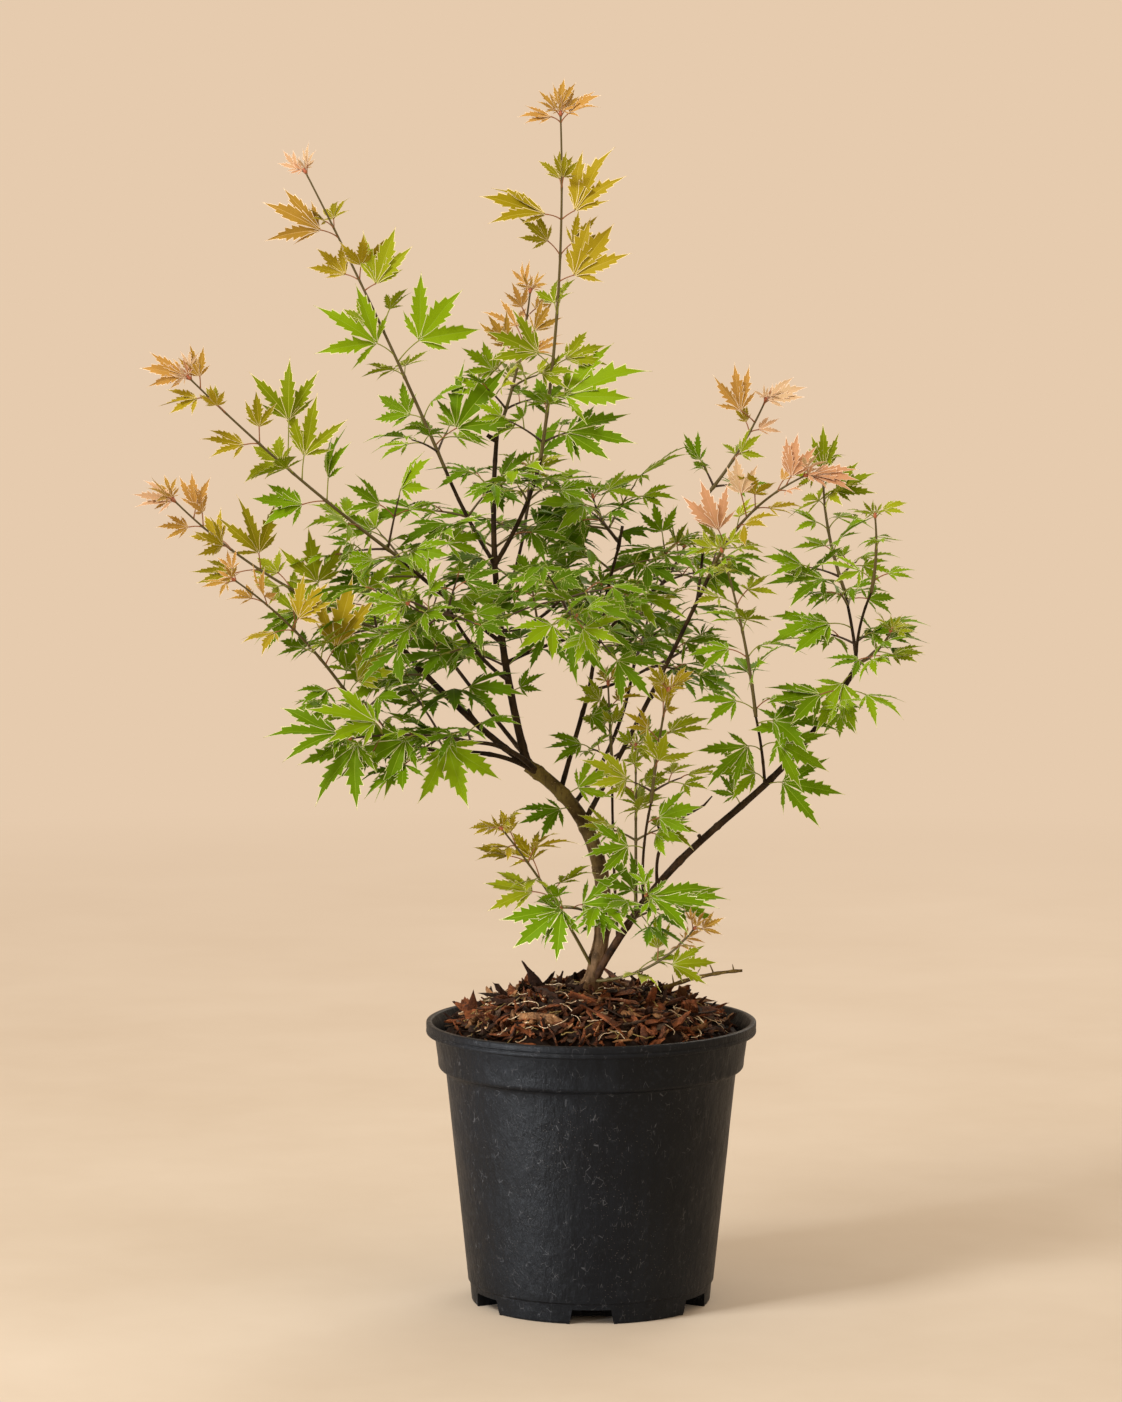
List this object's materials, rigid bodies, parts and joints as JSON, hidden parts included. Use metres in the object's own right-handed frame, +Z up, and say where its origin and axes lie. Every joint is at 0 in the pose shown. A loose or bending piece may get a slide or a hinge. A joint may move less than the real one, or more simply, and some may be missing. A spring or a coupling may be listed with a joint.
{
  "type": "potted japanese maple",
  "caption": "Young variegated japanese maple in a round black nursery pot, with a leaning trunk, slender boughs and separate masses of lobed leaves over bark mulch.",
  "frame": {"origin": "centre of the pot's flat underside", "axes": "+Z up along the pot's axis, +X to the right and -Y to the front, the side that the right-hand stem leans towards"},
  "size_m": [0.5922, 0.403, 0.9089],
  "materials": {
    "pot_plastic": "satin black, finely scratched",
    "compost": "moist, dark and crumbly",
    "mulch": "rough bark chips",
    "olive_bark": "smooth young bark with fine cracks",
    "dark_bark": "dark smooth bark with bud scars",
    "green_leaves": "soft satin leaf",
    "young_leaves": "soft satin leaf"
  },
  "bodies": {
    "root": {"pot": "pot_plastic", "compost": "compost", "bark_mulch": "mulch", "trunk": "olive_bark", "bough_centre": "dark_bark", "bough_leader": "dark_bark", "bough_upper_left": "dark_bark", "bough_long_left": "dark_bark", "bough_left": "dark_bark", "bough_low_left": "dark_bark", "bough_low_front": "dark_bark", "bough_middle": "dark_bark", "bough_middle_up": "dark_bark", "bough_middle_right": "dark_bark", "bough_middle_high": "dark_bark", "bough_right": "dark_bark", "bough_right_high": "dark_bark", "stem_right": "dark_bark", "bough_right_inner": "dark_bark", "bough_right_outer": "dark_bark", "bough_riser_outer": "dark_bark", "bough_riser_left": "dark_bark", "bough_riser_right": "dark_bark", "dead_twig": "dark_bark", "bough_centre_right": "dark_bark", "bough_back_left": "dark_bark", "bough_back_right": "dark_bark", "bough_back_centre": "dark_bark", "bough_front_left": "dark_bark", "bough_front_right": "dark_bark", "foliage_top": "young_leaves", "foliage_crest": "green_leaves", "foliage_upper_left": "young_leaves", "foliage_long_left": "young_leaves", "foliage_left": "young_leaves", "foliage_low_left": "green_leaves", "foliage_low_front": "green_leaves", "foliage_middle_up": "green_leaves", "foliage_middle_right": "green_leaves", "foliage_middle_high": "green_leaves", "foliage_right": "young_leaves", "foliage_right_high": "young_leaves", "foliage_outer": "green_leaves", "foliage_right_inner": "green_leaves", "foliage_right_outer": "green_leaves", "foliage_hanging": "green_leaves", "foliage_riser_outer": "green_leaves", "foliage_riser_left": "green_leaves", "foliage_riser_mid": "green_leaves", "foliage_riser_right": "young_leaves", "foliage_sucker": "green_leaves", "foliage_low_centre": "green_leaves", "foliage_low_right": "green_leaves", "foliage_foot": "green_leaves", "foliage_centre_right": "green_leaves", "foliage_back_left": "green_leaves", "foliage_back_right": "green_leaves", "foliage_back_centre": "green_leaves", "foliage_front_left": "green_leaves", "foliage_front_right": "green_leaves"}
  },
  "joints": []
}
